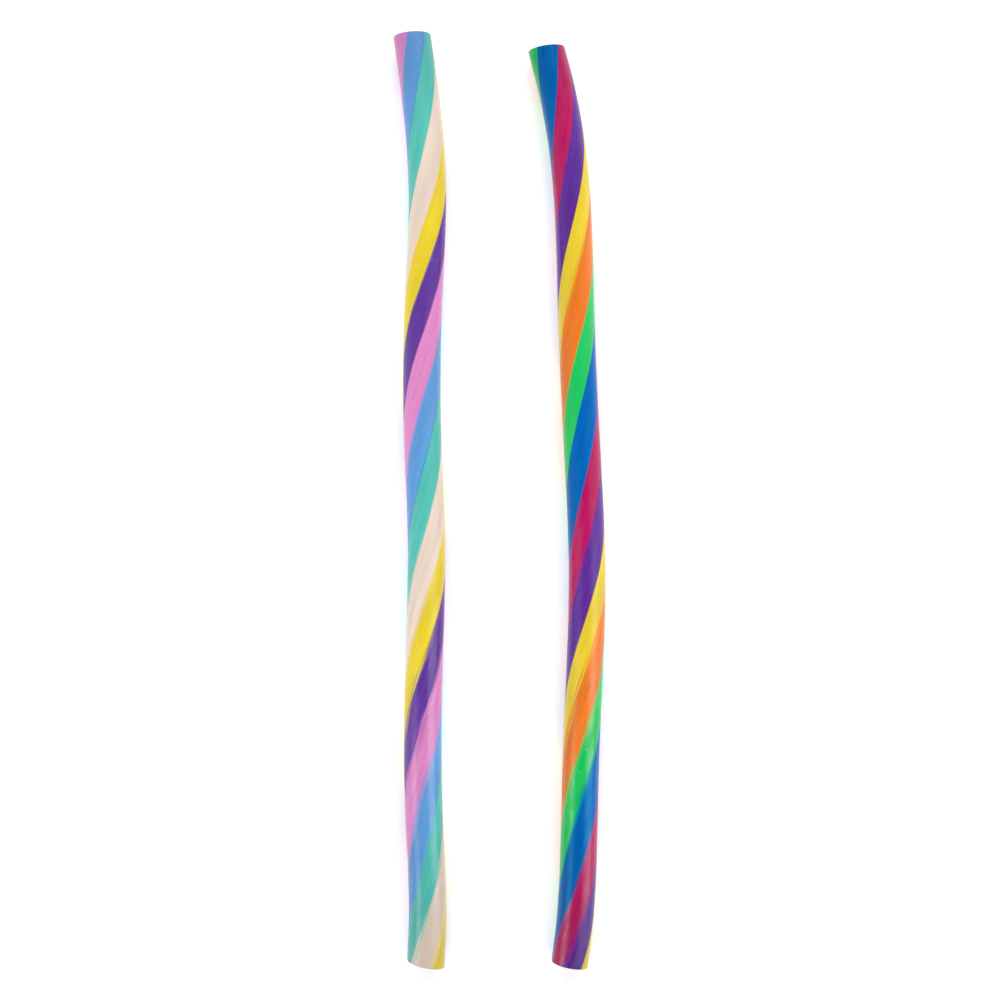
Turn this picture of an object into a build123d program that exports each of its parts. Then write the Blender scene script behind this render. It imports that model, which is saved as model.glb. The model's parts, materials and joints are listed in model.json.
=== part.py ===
from build123d import *
import math
import os

# A pair of soft twist sticks. Each is a round stick of six coloured strands, laid side by
# side and twisted together. Both lie on the ground along Y, with the top end towards +Y.
# Millimetres and degrees.

pastel_diameter = 12.3
bright_diameter = 12.0
pastel_length = 303.5  # from end to end, along Y
bright_length = 299.4
pastel_place = 0.1  # of the stick's middle, along Y
bright_place = -2.2
pastel_pitch = 125.2  # the length in which the strands go once round
bright_pitch = 128.2
bend_spacing = 101.0  # between a stick's two bending places
nose_margin = 1.55  # the round nose at a bending place is this much larger than the stick's radius
body_gap = 0.3  # between a nose and the hollow that turns round it
strand_gap = 0.05  # between two strands side by side
section_turn = 18.0  # the strands turn this far from one section to the next
fewest_steps = 3  # between sections, in the shortest stretch
spare_length = 16.0  # a stretch of strand runs this far past its span, and is cut back to it
box_margin = 40.0  # the cutting boxes reach this far past a stick

# The centre line of each stick, as (sideways, share of the half length), from the lower end
# up, the strands' widths as angles, and the way that each end is cut, as an angle from X.
pastel_stick = {
    "name": "pastel",
    "radius": pastel_diameter / 2,
    "length": pastel_length,
    "place": pastel_place,
    "pitch": pastel_pitch,
    "line": [
        (-24.1, -1.0),
        (-23.5, -0.87),
        (-24.6, -0.69),
        (-25.1, -0.5),
        (-23.9, -0.15),
        (-24.1, -0.03),
        (-24.9, 0.09),
        (-25.4, 0.26),
        (-24.9, 0.42),
        (-23.6, 0.63),
        (-24.6, 0.79),
        (-28.6, 1.0),
    ],
    "upper_cut": 4.6,
    "lower_cut": -11.3,
    "first_edge_on_top": 10.5,
    "strands": {"teal": 59, "cream": 65, "yellow": 57, "purple": 58, "pink": 62, "blue": 59},
}
bright_stick = {
    "name": "bright",
    "radius": bright_diameter / 2,
    "length": bright_length,
    "place": bright_place,
    "pitch": bright_pitch,
    "line": [
        (22.9, -1.0),
        (24.7, -0.9),
        (25.9, -0.75),
        (26.75, -0.53),
        (28.2, -0.3),
        (28.6, -0.12),
        (27.1, 0.12),
        (25.2, 0.4),
        (24.2, 0.62),
        (22.2, 0.78),
        (19.1, 0.9),
        (15.3, 1.0),
    ],
    "upper_cut": 8.0,
    "lower_cut": -10.1,
    "first_edge_on_top": 5.9,
    "strands": {"crimson": 57, "purple": 62, "yellow": 51, "orange": 66, "green": 55, "blue": 69},
}

up = Vector(0, 0, 1)


def centre_line(stick):
    """The curve down the middle of a stick, at half its thickness above the ground."""
    half = stick["length"] / 2
    points = [(x, stick["place"] + share * half, stick["radius"]) for x, share in stick["line"]]
    return Spline(*points)


def section_plane(line, along):
    """The plane across the stick at a distance along its line, with its first axis upwards."""
    inside = min(max(along, 0), line.length)
    here = line.position_at(inside, position_mode=PositionMode.LENGTH)
    ahead = line.tangent_at(inside, position_mode=PositionMode.LENGTH)
    return Plane(origin=here + ahead * (along - inside), x_dir=up, z_dir=ahead)


def wedge_outline(plane, radius, first_angle, width):
    """One strand's section: a slice of the round, half a gap clear of the slices beside it."""
    inset = math.degrees(math.asin(strand_gap / 2 / radius))
    off_centre = strand_gap / 2 / math.sin(math.radians(width / 2))
    tip = Vector(off_centre, 0, 0).rotate(Axis.Z, first_angle + width / 2)
    rim = CenterArc((0, 0), radius, first_angle + inset, width - 2 * inset)
    slice_edges = [Line(tip, rim @ 0), rim, Line(rim @ 1, tip)]
    return plane * Wire(slice_edges)


def strand_stretch(stick, line, first_angle, width, start, end):
    """A twisted stretch of one strand, from one distance along the line to another."""
    turn_per_mm = 360 / stick["pitch"]
    steps = max(fewest_steps, round((end - start) * turn_per_mm / section_turn))
    sections = []
    for i in range(steps + 1):
        along = start + (end - start) * i / steps
        plane = section_plane(line, along)
        turned = (plane.origin.Y - stick["first_edge_on_top"]) * turn_per_mm
        sections.append(wedge_outline(plane, stick["radius"], first_angle + turned, width))
    return Solid.make_loft(sections)


def block_along(plane, length):
    """A block with one face on the plane, reaching a length past it and round the whole stick."""
    side = 2 * box_margin
    return plane * Box(side, side, length, align=(Align.CENTER, Align.CENTER, Align.MIN))


def end_block(plane, cut_angle, way):
    """A block past a stick's end, with the cut end's slant."""
    slant = Plane(origin=plane.origin, x_dir=up, z_dir=Vector(0, way, 0).rotate(Axis.Z, cut_angle))
    return block_along(slant, box_margin)


def upright_round(place, radius):
    """An upright cylinder through a bending place."""
    return Pos(place) * Cylinder(radius, 2 * box_margin)


def span_shapes(stick, line):
    """The space of each span: its start and end along the line, and the block that trims it."""
    middle = line.length / 2
    low, high = middle - bend_spacing / 2, middle + bend_spacing / 2
    low_plane, high_plane = section_plane(line, low), section_plane(line, high)
    low_turned = Plane(origin=low_plane.origin, x_dir=up, z_dir=-low_plane.z_dir)
    nose_radius = stick["radius"] + nose_margin
    noses = [upright_round(p.origin, nose_radius) for p in (low_plane, high_plane)]
    hollows = [upright_round(p.origin, nose_radius + body_gap) for p in (low_plane, high_plane)]
    upper_end, lower_end = section_plane(line, line.length), section_plane(line, 0)
    above, below = block_along(high_plane, line.length), block_along(low_turned, line.length)
    trims = {
        "lower": below - hollows[0] - end_block(lower_end, stick["lower_cut"], -1),
        "middle": block_along(low_plane, line.length) - above + noses[0] + noses[1],
        "upper": above - hollows[1] - end_block(upper_end, stick["upper_cut"], 1),
    }
    return {
        "lower": (-spare_length, low, trims["lower"]),
        "middle": (low - spare_length, high + spare_length, trims["middle"]),
        "upper": (high, line.length + spare_length, trims["upper"]),
    }


def stick_nodes(stick):
    """All the strands of one stick, each in its three spans, by node name."""
    line = centre_line(stick)
    spans = span_shapes(stick, line)
    nodes = {}
    first_angle = 0
    for colour, width in stick["strands"].items():
        for span, (start, end, trim) in spans.items():
            stretch = strand_stretch(stick, line, first_angle, width, start, end)
            nodes[f"{stick['name']}_{colour}_{span}"] = stretch & trim
        first_angle += width
    return nodes


pair = {**stick_nodes(pastel_stick), **stick_nodes(bright_stick)}
# Boxed by its edges, since the box round a trimmed surface can be longer than the surface.
box = Compound([edge for shape in pair.values() for edge in shape.edges()]).bounding_box()
centred = Pos(-box.center().X, -box.center().Y, -box.min.Z)

os.makedirs("parts", exist_ok=True)
for name, shape in pair.items():
    export_step(centred * shape, f"parts/{name}.step")
print("pair of", round(box.size.X, 2), round(box.size.Y, 2), round(box.size.Z, 2), "mm")
print("moved by", round(-box.center().X, 3), round(-box.center().Y, 3), round(-box.min.Z, 3))
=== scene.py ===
import json
import math
import bmesh
import bpy
import numpy as np
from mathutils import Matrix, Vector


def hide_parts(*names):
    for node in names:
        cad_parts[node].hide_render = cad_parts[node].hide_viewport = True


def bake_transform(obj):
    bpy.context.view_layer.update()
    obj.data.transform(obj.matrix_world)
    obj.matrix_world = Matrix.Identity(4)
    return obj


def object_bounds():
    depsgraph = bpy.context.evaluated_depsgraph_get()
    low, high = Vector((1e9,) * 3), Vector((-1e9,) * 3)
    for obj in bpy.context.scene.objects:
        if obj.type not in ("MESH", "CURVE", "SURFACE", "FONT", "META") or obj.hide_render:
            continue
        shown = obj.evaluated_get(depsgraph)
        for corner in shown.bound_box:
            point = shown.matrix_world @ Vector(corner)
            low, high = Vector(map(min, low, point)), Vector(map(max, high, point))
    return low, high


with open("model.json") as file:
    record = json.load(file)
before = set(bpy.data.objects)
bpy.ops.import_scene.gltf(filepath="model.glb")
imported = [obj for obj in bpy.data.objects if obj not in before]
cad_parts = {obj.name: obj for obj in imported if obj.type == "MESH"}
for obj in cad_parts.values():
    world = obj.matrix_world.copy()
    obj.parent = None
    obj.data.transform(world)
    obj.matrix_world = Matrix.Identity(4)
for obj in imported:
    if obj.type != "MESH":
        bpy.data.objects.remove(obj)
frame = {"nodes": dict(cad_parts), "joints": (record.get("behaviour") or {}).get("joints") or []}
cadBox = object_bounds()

print("frame loaded,", len(frame["nodes"]), "strand spans")

mm = 0.001

# Both sticks lie as the CAD has them: the same lines, pitches and cuts, in mm and degrees.
# A line's points are how far aside, and the share of the half length from the stick's middle.
# A strand is its colour, its width round the stick, and how far it smears over its first edge.
# A seam is the colour and strength of the line along a strand's first edge.
pastelStick = {
    "name": "pastel",
    "diameter": 12.3,
    "length": 303.5,
    "place": 0.1,
    "pitch": 125.2,
    "line": [
        (-24.1, -1.0), (-23.5, -0.87), (-24.6, -0.69), (-25.1, -0.5), (-23.9, -0.15), (-24.1, -0.03),
        (-24.9, 0.09), (-25.4, 0.26), (-24.9, 0.42), (-23.6, 0.63), (-24.6, 0.79), (-28.6, 1.0),
    ],
    "cuts": {"upper": 4.6, "lower": -11.3},
    "firstEdgeOnTop": 10.5,
    "strands": [
        ("teal", 59, 0.5), ("cream", 65, 0.7), ("yellow", 57, 0.9),
        ("purple", 58, 1.0), ("pink", 62, 1.1), ("blue", 59, 1.3),
    ],
    "seams": {"teal": ((38, 96, 158), 0.6), "cream": ((128, 158, 146), 0.25)},
    "lowerSeams": 0.3,         # how much of a seam is left in the lower half
    "gloss": 0.34,
    "glossTints": {},
    "colours": {
        "pink": (219, 133, 194), "blue": (92, 152, 213), "teal": (81, 187, 176),
        "cream": (228, 207, 191), "yellow": (228, 202, 39), "purple": (92, 51, 149),
    },
}

brightStick = {
    "name": "bright",
    "diameter": 12.0,
    "length": 299.4,
    "place": -2.2,
    "pitch": 128.2,
    "line": [
        (22.9, -1.0), (24.7, -0.9), (25.9, -0.75), (26.75, -0.53), (28.2, -0.3), (28.6, -0.12),
        (27.1, 0.12), (25.2, 0.4), (24.2, 0.62), (22.2, 0.78), (19.1, 0.9), (15.3, 1.0),
    ],
    "cuts": {"upper": 8.0, "lower": -10.1},
    "firstEdgeOnTop": 5.9,
    "strands": [
        ("crimson", 57, 0.45), ("purple", 62, 1.2), ("yellow", 51, 0.15),
        ("orange", 66, 2.0), ("green", 55, 0.7), ("blue", 69, 0.5),
    ],
    "seams": {"yellow": ((92, 46, 52), 0.65), "green": ((206, 186, 120), 0.4)},
    "lowerSeams": 0.95,
    "gloss": 0.4,
    "glossTints": {"blue": (0.15, 0.8, 0.9)},
    "colours": {
        "green": (12, 192, 90), "blue": (0, 95, 177), "crimson": (180, 0, 89),
        "purple": (87, 34, 144), "yellow": (226, 197, 40), "orange": (229, 117, 25),
    },
}

# How both sticks are made, in mm and degrees.
stickMake = {
    "rimRadius": 0.35,         # of the worn edge round a cut end
    "rimSteps": 5,
    "faceRings": 5,            # across a cut end
    "rowStep": 1.25,           # between rings along the stick
    "columns": 22,             # across each strand
    "slantReach": 16.0,        # a cut's slant dies away over this length
    "grooveDepth": 0.014,
    "grooveWidth": 0.16,
    "ripples": [               # size, lobes round the stick, radians per mm along it, start
        (0.022, 2, 0.11, 0.4),
        (0.016, 3, -0.17, 1.9),
        (0.012, 5, 0.29, 0.7),
    ],
    "creaseAngle": 50,         # a sharper corner than this isn't smoothed
    "bendReach": 46.0,         # the reach each side of a strand's hinge; nothing is bent with it
}


def lineThrough(stick):
    # a natural cubic through the stick's points, as a function that gives the place and slope at y
    xs = np.array([x for x, share in stick["line"]])
    ys = np.array([stick["place"] + share * stick["length"] / 2 for x, share in stick["line"]])
    gaps = np.diff(ys)
    count = len(xs)
    rows = np.eye(count)
    right = np.zeros(count)
    for i in range(1, count - 1):
        rows[i, i - 1:i + 2] = gaps[i - 1], 2 * (gaps[i - 1] + gaps[i]), gaps[i]
        right[i] = 6 * ((xs[i + 1] - xs[i]) / gaps[i] - (xs[i] - xs[i - 1]) / gaps[i - 1])
    bends = np.linalg.solve(rows, right)

    def at(y):
        i = int(np.clip(np.searchsorted(ys, y) - 1, 0, count - 2))
        gap = gaps[i]
        before, after = (ys[i + 1] - y) / gap, (y - ys[i]) / gap
        x = before * xs[i] + after * xs[i + 1]
        x += ((before ** 3 - before) * bends[i] + (after ** 3 - after) * bends[i + 1]) * gap ** 2 / 6
        slope = (xs[i + 1] - xs[i]) / gap
        slope += ((3 * after ** 2 - 1) * bends[i + 1] - (3 * before ** 2 - 1) * bends[i]) * gap / 6
        return x, slope
    return at


def surfaceRadius(stick, turn, fromEdges, y):
    # the round, a little uneven, with a faint groove along the strand's two edges
    radius = stick["diameter"] / 2
    for size, lobes, perMm, start in stickMake["ripples"]:
        radius += size * math.sin(lobes * math.radians(turn) + perMm * y + start)
    for distance in fromEdges:
        radius -= stickMake["grooveDepth"] * math.exp(-(distance / stickMake["grooveWidth"]) ** 2)
    return radius


def profileRows(stick, half):
    # rings from the stick's middle to its end: (y, share of the radius, mm taken off the radius, kind)
    way = 1 if half == "upper" else -1
    end = stick["place"] + way * stick["length"] / 2
    rim = stickMake["rimRadius"]
    start = stick["place"]
    last = end - way * rim
    count = round(abs(last - start) / stickMake["rowStep"])
    rows = [(start + (last - start) * i / count, 1.0, 0.0, "side") for i in range(count + 1)]
    for i in range(1, stickMake["rimSteps"] + 1):
        angle = math.radians(90 * i / stickMake["rimSteps"])
        rows.append((last + way * rim * math.sin(angle), 1.0, rim * (1 - math.cos(angle)), "rim"))
    for i in range(1, stickMake["faceRings"]):
        rows.append((end, 1 - i / stickMake["faceRings"], rim, "face"))
    return rows, end, way


def wedgeFaces(rowCount, sides, columns):
    # the skin of a wedge: its outside, its cut end, its two flanks and its other end
    ring = columns + 1
    axis = rowCount * ring     # the first point on the stick's own line
    centre = axis + sides      # the middle of the cut end
    faces = []
    for row in range(rowCount - 1):
        for column in range(columns):
            corner = row * ring + column
            faces.append((corner, corner + 1, corner + 1 + ring, corner + ring))
    tip = (rowCount - 1) * ring
    faces += [(tip + column, tip + column + 1, centre) for column in range(columns)]
    for column in (0, columns):
        for row in range(sides - 1):
            edge = row * ring + column
            faces.append((edge, edge + ring, axis + row + 1, axis + row))
        outline = [row * ring + column for row in range(sides - 1, rowCount)]
        faces.append((*outline, centre, centre - 1))
    faces.append((axis, *range(ring)))
    return faces


def strandShape(stick, number, half):
    # one strand from the stick's middle to an end, as a closed wedge with what its paint reads
    at = lineThrough(stick)
    rows, end, way = profileRows(stick, half)
    first = sum(width for colour, width, smear in stick["strands"][:number])
    width = stick["strands"][number][1]
    columns = stickMake["columns"]
    slant = math.radians(stick["cuts"][half]) + math.atan(at(end)[1])
    nominal = stick["diameter"] / 2
    perDegree = math.radians(nominal)
    points, low, high, grain, cut = [], [], [], [], []

    def place(y, turn, radius):
        x, slope = at(y)
        spin = math.radians(turn + (y - stick["firstEdgeOnTop"]) * 360 / stick["pitch"])
        size = math.hypot(1, slope)
        across, up = radius * math.sin(spin), radius * math.cos(spin)
        near = max(0.0, 1 - abs(end - y) / stickMake["slantReach"])
        shift = across * math.tan(slant) * near * near * (3 - 2 * near)
        aside, ahead = (across + shift * slope) / size, (shift - across * slope) / size
        points.append((x + aside, y + ahead, nominal + up))

    for y, share, off, kind in rows:
        for column in range(columns + 1):
            part = (1 - math.cos(math.pi * column / columns)) / 2
            turn = first + width * part
            edges = width * part * perDegree, width * (1 - part) * perDegree
            radius = (surfaceRadius(stick, turn, edges, y) - off) * share
            place(y, turn, radius)
            shrink = radius / nominal
            low.append(edges[0] * shrink)
            high.append(edges[1] * shrink)
            grain.append((turn * perDegree, y, radius))
            cut.append(0.0 if kind == "side" else 1.0)
    sides = sum(kind == "side" for y, share, off, kind in rows)
    for y in [row[0] for row in rows[:sides]] + [end]:
        place(y, first, 0.0)
        low.append(0.0)
        high.append(0.0)
        grain.append(((first + width / 2) * perDegree, y, 0.0))
        cut.append(1.0 if y == end else 0.0)
    faces = wedgeFaces(len(rows), sides, columns)
    return np.array(points), faces, {"fromLow": low, "fromHigh": high, "cutEnd": cut}, grain


def closedMesh(name, points, faces):
    mesh = bpy.data.meshes.new(name)
    mesh.from_pydata([tuple(p) for p in points], [], faces)
    work = bmesh.new()
    work.from_mesh(mesh)
    bmesh.ops.recalc_face_normals(work, faces=work.faces)
    work.to_mesh(mesh)
    work.free()
    mesh.shade_smooth()
    mesh.set_sharp_from_angle(angle=math.radians(stickMake["creaseAngle"]))
    return mesh


def strandPiece(stick, number, half, shape, shift):
    points, faces, amounts, grain = shape
    colour = stick["strands"][number][0]
    name = f"{stick['name']}_{colour}_strand_{half}"
    mesh = closedMesh(name, (points + shift) * mm, faces)
    for key, values in amounts.items():
        layer = mesh.attributes.new(key, "FLOAT", "POINT")
        layer.data.foreach_set("value", np.array(values, np.float32))
    layer = mesh.attributes.new("grain", "FLOAT_VECTOR", "POINT")
    layer.data.foreach_set("vector", np.array(grain, np.float32).ravel())
    piece = bpy.data.objects.new(name, mesh)
    bpy.context.scene.collection.objects.link(piece)
    return piece


print("tools ready")


class Signal:              # one socket; arithmetic on it adds Math nodes
    def __init__(self, paint, socket):
        self.paint = paint
        self.socket = socket

    def maths(self, operation, first, second):
        return self.paint.node("ShaderNodeMath", {"operation": operation}, {0: first, 1: second})

    def __add__(self, other):
        return self.maths("ADD", self, other)

    def __sub__(self, other):
        return self.maths("SUBTRACT", self, other)

    def __rsub__(self, other):
        return self.maths("SUBTRACT", other, self)

    def __mul__(self, other):
        return self.maths("MULTIPLY", self, other)

    def __truediv__(self, other):
        return self.maths("DIVIDE", self, other)

    def __rtruediv__(self, other):
        return self.maths("DIVIDE", other, self)

    __radd__ = __add__
    __rmul__ = __mul__


class Paint:               # the nodes of one material, or of the sky, while they are mixed
    def __init__(self, owner):
        self.owner = owner
        owner.use_nodes = True
        self.tree = owner.node_tree
        self.tree.nodes.clear()

    def node(self, kind, settings, values, output=0):
        made = self.tree.nodes.new(kind)
        for key, value in settings.items():
            setattr(made, key, value)
        for key, value in values.items():
            if isinstance(value, Signal):
                self.tree.links.new(value.socket, made.inputs[key])
            else:
                made.inputs[key].default_value = value
        return Signal(self, made.outputs[output]) if made.outputs else None

    def attribute(self, name, output):
        return self.node("ShaderNodeAttribute", {"attribute_name": name}, {}, output)

    def noise(self, place, scale, detail=2.0):
        # cloudy noise from 0 to 1, finer where the scale along an axis is larger
        moved = self.node("ShaderNodeVectorMath", {"operation": "MULTIPLY"}, {0: place, 1: scale})
        return self.node("ShaderNodeTexNoise", {}, {"Vector": moved, "Scale": 1.0, "Detail": detail})

    def fade(self, value, start, stop):
        # 0 at start, 1 at stop, smooth between
        settings = {"interpolation_type": "SMOOTHSTEP"}
        return self.node("ShaderNodeMapRange", settings, {0: value, 1: start, 2: stop, 3: 0.0, 4: 1.0})

    def mix(self, share, first, second):
        return self.node("ShaderNodeMix", {"data_type": "RGBA"}, {0: share, 6: first, 7: second}, 2)

    def finish(self, values):
        shader = self.node("ShaderNodeBsdfPrincipled", {}, values)
        self.node("ShaderNodeOutputMaterial", {}, {"Surface": shader})
        return self.owner


def newPaint(name):
    return Paint(bpy.data.materials.new(name))


# How the rubber looks. Lengths are in mm; above and below are the upper and the lower half.
# A noise is how fine it is round the stick, along it and in depth, per mm, and its detail.
rubber = {
    "dimmed": 0.8,             # times every colour, since the studio is bright
    "lowerHalf": (10.0, -70.0),     # smooth rubber turns into drawn rubber between these places
    "calm": 0.4,               # how much of the drawn look shows above
    # cloudy lengths and fine lines, from a deep tone to a pale one
    "cloud": ((0.22, 0.035, 0), 2.0),
    "lines": ((2.4, 0.04, 0), 4.0),
    "cloudShare": 0.6,         # of the two together; the lines have the rest
    "toneRange": (0.32, 0.68),
    "deep": (0.94, 0),         # times the colour, and added to it
    "pale": (1.07, 3),
    # broad pale streaks
    "pull": ((1.3, 0.02, 5.0), 3.0),
    "pullRange": (0.6, 0.76),
    "pullPale": (1.16, 16),
    "pullShare": 0.5,
    # painted shade: darker ends where the light falls off, the length and the share of it, at the lower
    # and the upper end
    "paintedEndShade": {-1: (75.0, 0.9), 1: (34.0, 0.75)},
    # the deeper tone of the painted shade at the ends
    "paintedEndShadeTone": (0.88, 0),
    # dust: pale dots, where a noise lets them
    "dust": (0.9, 0.88, 0.9, 1.0),
    "dustShare": 0.7,
    "dustScale": 0.42,         # cells per mm, one dot in each at most
    "dustEdge": (0.075, 0.035),     # of a dot, from none to full, in cells
    "dustPlaces": ((0.09, 0.05, 9.0), 1.0),
    "dustPlacesRange": (0.6, 0.66),
    # gloss
    "roughness": (0.2, 0.44),
    "drawnGloss": ((1.5, 0.03, 2.0), 3.0),
    "patchyGloss": ((0.35, 0.16, 4.0), 2.0),
    "drawnShare": 0.6,         # of the two together; the patches have the rest
    "glossRange": (0.3, 0.7),
    "cutRoughness": 0.62,
    "dustRoughness": 0.2,      # more than the rubber's
    "refraction": 1.5,
    # relief
    "pores": ((1.6, 0.9, 0), 3.0),
    "poresShare": 0.5,
    "linesShare": 0.7,
    "bumpStrength": 0.16,
    "bumpHeight": 0.04,
}

# Where one colour smears over its neighbour, and the thin seams between them.
edgeMake = {
    "wander": 0.5,             # how far a colour's edge strays from its strand's edge
    "wanderPerMm": 0.06,       # how fast it strays along the stick
    "widthPerMm": 0.045,       # how fast a smear gets wider and narrower along it
    "widthStart": 7.3,         # keeps that noise apart from the straying
    "lowerSmear": (1.1, 2.2),  # smears widen below by this many mm, or by this times their own width
    "streaks": (0.9, 2.8),     # how streaky a smear is, above and below
    "streakAcross": 3.6,       # how fine the streaks are across an edge and along it, per mm
    "streakAlong": 0.06,
    "streakDetail": 3.0,
    "softness": 0.42,          # share of its width over which a smear fades, each way
    "nextSeed": 3.7,           # from one edge's noise to the next edge's
    "seamWidth": 0.22,
    "seamBreaks": ((0, 0.08, 3.0), 2.0),
    "seamBreaksRange": (0.25, 0.5),
    "cutLoss": 0.7,            # share of a seam that is gone on a cut end
}


def colourOf(rgb):
    # a screen colour as linear light, dimmed for the studio
    linear = [v / 255 / 12.92 if v <= 10 else ((v / 255 + 0.055) / 1.055) ** 2.4 for v in rgb]
    return (*[min(1.0, v * rubber["dimmed"]) for v in linear], 1.0)


def edgeShare(paint, distance, along, lower, smear, seed):
    # how much of the strand past an edge shows, at a signed distance from it
    # both strands at an edge ask with the same seed, so they agree on it
    def wavy(perMm, start):
        place = paint.node("ShaderNodeCombineXYZ", {}, {"X": along * perMm, "Y": seed + start})
        return paint.noise(place, (1, 1, 1))
    across, ahead = distance * edgeMake["streakAcross"], along * edgeMake["streakAlong"]
    place = paint.node("ShaderNodeCombineXYZ", {}, {"X": across, "Y": ahead, "Z": seed})
    streak = paint.noise(place, (1, 1, 1), edgeMake["streakDetail"])
    few, many = edgeMake["streaks"]
    most, times = edgeMake["lowerSmear"]
    uneven = wavy(edgeMake["widthPerMm"], edgeMake["widthStart"]) + 0.5
    width = uneven * (lower * min(most, times * smear) + smear)
    streaky = (streak - 0.5) * (lower * (many - few) + few)
    stray = (wavy(edgeMake["wanderPerMm"], 0.0) - 0.5) * min(edgeMake["wander"], smear) + streaky * width
    return paint.fade((distance + stray) / width, -edgeMake["softness"], edgeMake["softness"])


def strandPaint(stick, number):
    strands = stick["strands"]
    after = (number + 1) % len(strands)
    own, lowSide, highSide = strands[number][0], strands[number - 1][0], strands[after][0]
    paint = newPaint(f"{stick['name']}_{own}_rubber")
    grain = paint.attribute("grain", "Vector")
    along = paint.node("ShaderNodeSeparateXYZ", {}, {0: grain}, "Y")
    fromLow = paint.attribute("fromLow", "Fac")
    fromHigh = paint.attribute("fromHigh", "Fac")
    cutEnd = paint.attribute("cutEnd", "Fac")
    lower = paint.fade(along, *rubber["lowerHalf"])
    drawn = lower * (1 - rubber["calm"]) + rubber["calm"]

    def toned(times, more):
        return colourOf([min(255, v * times + more) for v in stick["colours"][own]])

    def blended(first, second, share):
        return first * share + second * (1 - share)

    # the strand's own colour: broad cloudy lengths, and fine lines drawn out along the twist
    cloud = paint.noise(grain, *rubber["cloud"])
    lines = paint.noise(grain, *rubber["lines"])
    tone = paint.fade(blended(cloud, lines, rubber["cloudShare"]), *rubber["toneRange"])
    body = paint.mix((tone - 0.5) * drawn + 0.5, toned(*rubber["deep"]), toned(*rubber["pale"]))
    pull = paint.fade(paint.noise(grain, *rubber["pull"]), *rubber["pullRange"])
    body = paint.mix(pull * drawn * rubber["pullShare"], body, toned(*rubber["pullPale"]))
    # painted shade: each end is darkened towards a deeper tone where the light falls off
    for way, (reach, share) in rubber["paintedEndShade"].items():
        end = stick["place"] + way * stick["length"] / 2
        endShadeShare = paint.fade(along, end - way * reach, end) * share
        body = paint.mix(endShadeShare, body, toned(*rubber["paintedEndShadeTone"]))

    # smears of the neighbours at both edges, then the seams
    seed = edgeMake["nextSeed"]
    ownAtLow = edgeShare(paint, fromLow, along, lower, strands[number][2], number * seed)
    nextAtHigh = edgeShare(paint, fromHigh * -1.0, along, lower, strands[after][2], after * seed)
    body = paint.mix(ownAtLow, colourOf(stick["colours"][lowSide]), body)
    body = paint.mix(nextAtHigh, body, colourOf(stick["colours"][highSide]))
    for distance, name in ((fromLow, own), (fromHigh, highSide)):
        if name in stick["seams"]:
            seamColour, strength = stick["seams"][name]
            thin = paint.fade(paint.noise(grain, *edgeMake["seamBreaks"]), *edgeMake["seamBreaksRange"])
            line = paint.fade(distance, edgeMake["seamWidth"], 0.0) * thin
            line = line * (1.0 - cutEnd * edgeMake["cutLoss"])
            line = line * (1.0 - lower * (1 - stick["lowerSeams"]))
            body = paint.mix(line * strength, body, colourOf(seamColour))

    dust = {"Vector": grain, "Scale": rubber["dustScale"]}
    spots = paint.node("ShaderNodeTexVoronoi", {}, dust, "Distance")
    places = paint.fade(paint.noise(grain, *rubber["dustPlaces"]), *rubber["dustPlacesRange"])
    dots = paint.fade(spots, *rubber["dustEdge"]) * places
    body = paint.mix(dots * rubber["dustShare"], body, rubber["dust"])

    # the gloss breaks up along the twist too; a cut end is duller
    low, high = rubber["roughness"]
    drawnGloss = paint.noise(grain, *rubber["drawnGloss"])
    patchyGloss = paint.noise(grain, *rubber["patchyGloss"])
    uneven = paint.fade(blended(drawnGloss, patchyGloss, rubber["drawnShare"]), *rubber["glossRange"])
    rough = uneven * (high - low) + low + dots * rubber["dustRoughness"]
    rough = rough * (1.0 - cutEnd) + cutEnd * rubber["cutRoughness"]
    pores = paint.noise(grain, *rubber["pores"])
    bump = paint.node("ShaderNodeBump", {}, {
        "Strength": rubber["bumpStrength"],
        "Distance": rubber["bumpHeight"] * mm,
        "Height": (pores * rubber["poresShare"] + lines * rubber["linesShare"]) * drawn,
    })
    return paint.finish({
        "Base Color": body,
        "Roughness": rough,
        "Normal": bump,
        "Specular IOR Level": stick["gloss"],
        "Specular Tint": (*stick["glossTints"].get(own, (1.0, 1.0, 1.0)), 1.0),
        "IOR": rubber["refraction"],
    })


print("paint box ready")


def buildSticks():
    # every strand is shaped first, so that the pair can be set on the middle of the CAD's box
    made = []
    for stick in (pastelStick, brightStick):
        for number in range(len(stick["strands"])):
            for half in ("upper", "lower"):
                made.append((stick, number, half, strandShape(stick, number, half)))
    everything = np.concatenate([shape[0] for stick, number, half, shape in made])
    middle = (everything.min(0) + everything.max(0)) / 2
    cadMiddle = np.array((cadBox[0] + cadBox[1]) / 2) / mm
    lowest = cadBox[0].z / mm - everything[:, 2].min()
    shift = np.array([cadMiddle[0] - middle[0], cadMiddle[1] - middle[1], lowest])
    paints = {}
    hinges = {joint["child"]: joint["pos_m"] for joint in frame["joints"] if joint["type"] == "hinge"}
    for stick, number, half, shape in made:
        colour = stick["strands"][number][0]
        slot = f"{stick['name']}_{colour}"
        if slot not in paints:
            paints[slot] = strandPaint(stick, number)
        piece = strandPiece(stick, number, half, shape, shift)
        piece.data.materials.append(paints[slot])
        moving, still = f"{stick['name']}_{half}", f"{stick['name']}_middle"
        hinge = hinges[moving]
        way = 1 if half == "upper" else -1
        reach = stickMake["bendReach"] * mm * way
        hinge[1] - reach
        hinge[1] + reach
        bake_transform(piece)
        stands = [f"{slot}_{half}"] + ([f"{slot}_middle"] if half == "upper" else [])
        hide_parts(*stands)
    print("sticks built:", len(made), "strand halves,", len(paints), "paints, moved", np.round(shift, 3))


buildSticks()

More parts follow.
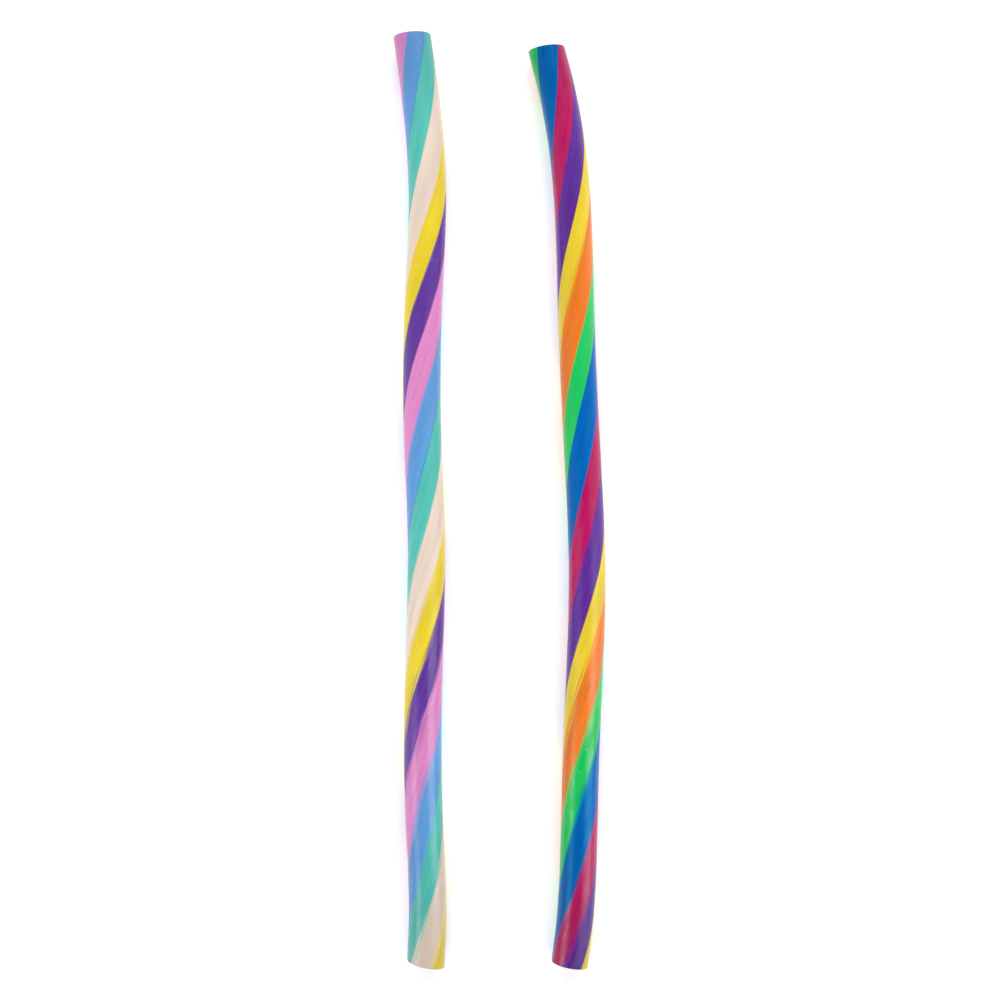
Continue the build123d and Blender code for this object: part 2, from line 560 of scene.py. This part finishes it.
studio = {
    "floorColour": (0.93, 0.93, 0.93, 1.0),
    "floorGlow": 0.16,
    "floorSize": 1.7,
    "floorSink": 0.1,          # mm below what the sticks lie on
    "floorRoughness": 0.9,
    "sky": {"overhead": 0.11, "level": 1.04},       # its strength overhead and at eye level
    "boxes": [
        # name, place, size, aimed at, power in watts, the rest in metres
        ("farSoft", (0.0, 1.1, 0.9), (1.5, 0.9), (0.0, 0.0, 0.0), 19.6),
        ("nearSoft", (0.0, -1.1, 0.9), (1.5, 0.9), (0.0, 0.0, 0.0), 4.7),
        ("rightStrip", (0.73, -0.245, 0.53), (0.22, 0.76), (0.0, -0.12, 0.0), 3.3),
        ("leftStrip", (-0.72, -0.31, 0.54), (0.22, 0.46), (0.0, -0.12, 0.0), 1.9),
    ],
}


def studioSky():
    # a white tent, dim overhead, where the camera looks through it
    paint = Paint(bpy.data.worlds.new("sky"))
    direction = paint.node("ShaderNodeTexCoord", {}, {}, "Generated")
    height = paint.node("ShaderNodeSeparateXYZ", {}, {0: direction}, "Z")
    ends = {"To Min": studio["sky"]["level"], "To Max": studio["sky"]["overhead"]}
    strength = paint.node("ShaderNodeMapRange", {}, {"Value": height, **ends})
    light = paint.node("ShaderNodeBackground", {}, {"Color": (1.0, 1.0, 1.0, 1.0), "Strength": strength})
    paint.node("ShaderNodeOutputWorld", {}, {"Surface": light})
    return paint.owner


def buildStudio():
    scene = bpy.context.scene
    half = studio["floorSize"] / 2
    floorZ = cadBox[0].z - studio["floorSink"] * mm
    corners = [(-half, -half, floorZ), (half, -half, floorZ), (half, half, floorZ), (-half, half, floorZ)]
    mesh = bpy.data.meshes.new("floor")
    mesh.from_pydata(corners, [], [(0, 1, 2, 3)])
    floor = bpy.data.objects.new("floor", mesh)
    scene.collection.objects.link(floor)
    paint = newPaint("floor_paper")
    mesh.materials.append(paint.finish({
        "Base Color": studio["floorColour"],
        "Roughness": studio["floorRoughness"],
        "Emission Color": (1.0, 1.0, 1.0, 1.0),
        "Emission Strength": studio["floorGlow"],
    }))
    for name, place, size, aim, power in studio["boxes"]:
        light = bpy.data.lights.new(name, "AREA")
        light.shape = "RECTANGLE"
        light.size, light.size_y = size
        light.energy = power
        lamp = bpy.data.objects.new(name, light)
        lamp.location = place
        way = Vector(aim) - Vector(place)
        lamp.rotation_euler = way.to_track_quat("-Z", "Y").to_euler()
        scene.collection.objects.link(lamp)
    scene.world = studioSky()
    scene.view_settings.view_transform = "Standard"
    print("studio lit")


cameraView = {
    "aside": (0.2, 0.3),       # mm from the middle of the pair
    "height": 584.1,           # mm above what the sticks lie on
    "lens": 63.6,
    "sensor": 36.0,
}


def placeCamera():
    camera = bpy.data.cameras.new("overhead")
    camera.lens = cameraView["lens"]
    camera.sensor_width = cameraView["sensor"]
    holder = bpy.data.objects.new("overhead", camera)
    middle = (cadBox[0] + cadBox[1]) / 2
    right, ahead = cameraView["aside"]
    level = cadBox[0].z + cameraView["height"] * mm
    holder.location = (middle.x + right * mm, middle.y + ahead * mm, level)
    bpy.context.scene.collection.objects.link(holder)
    bpy.context.scene.camera = holder
    print("camera placed")


buildStudio()
placeCamera()
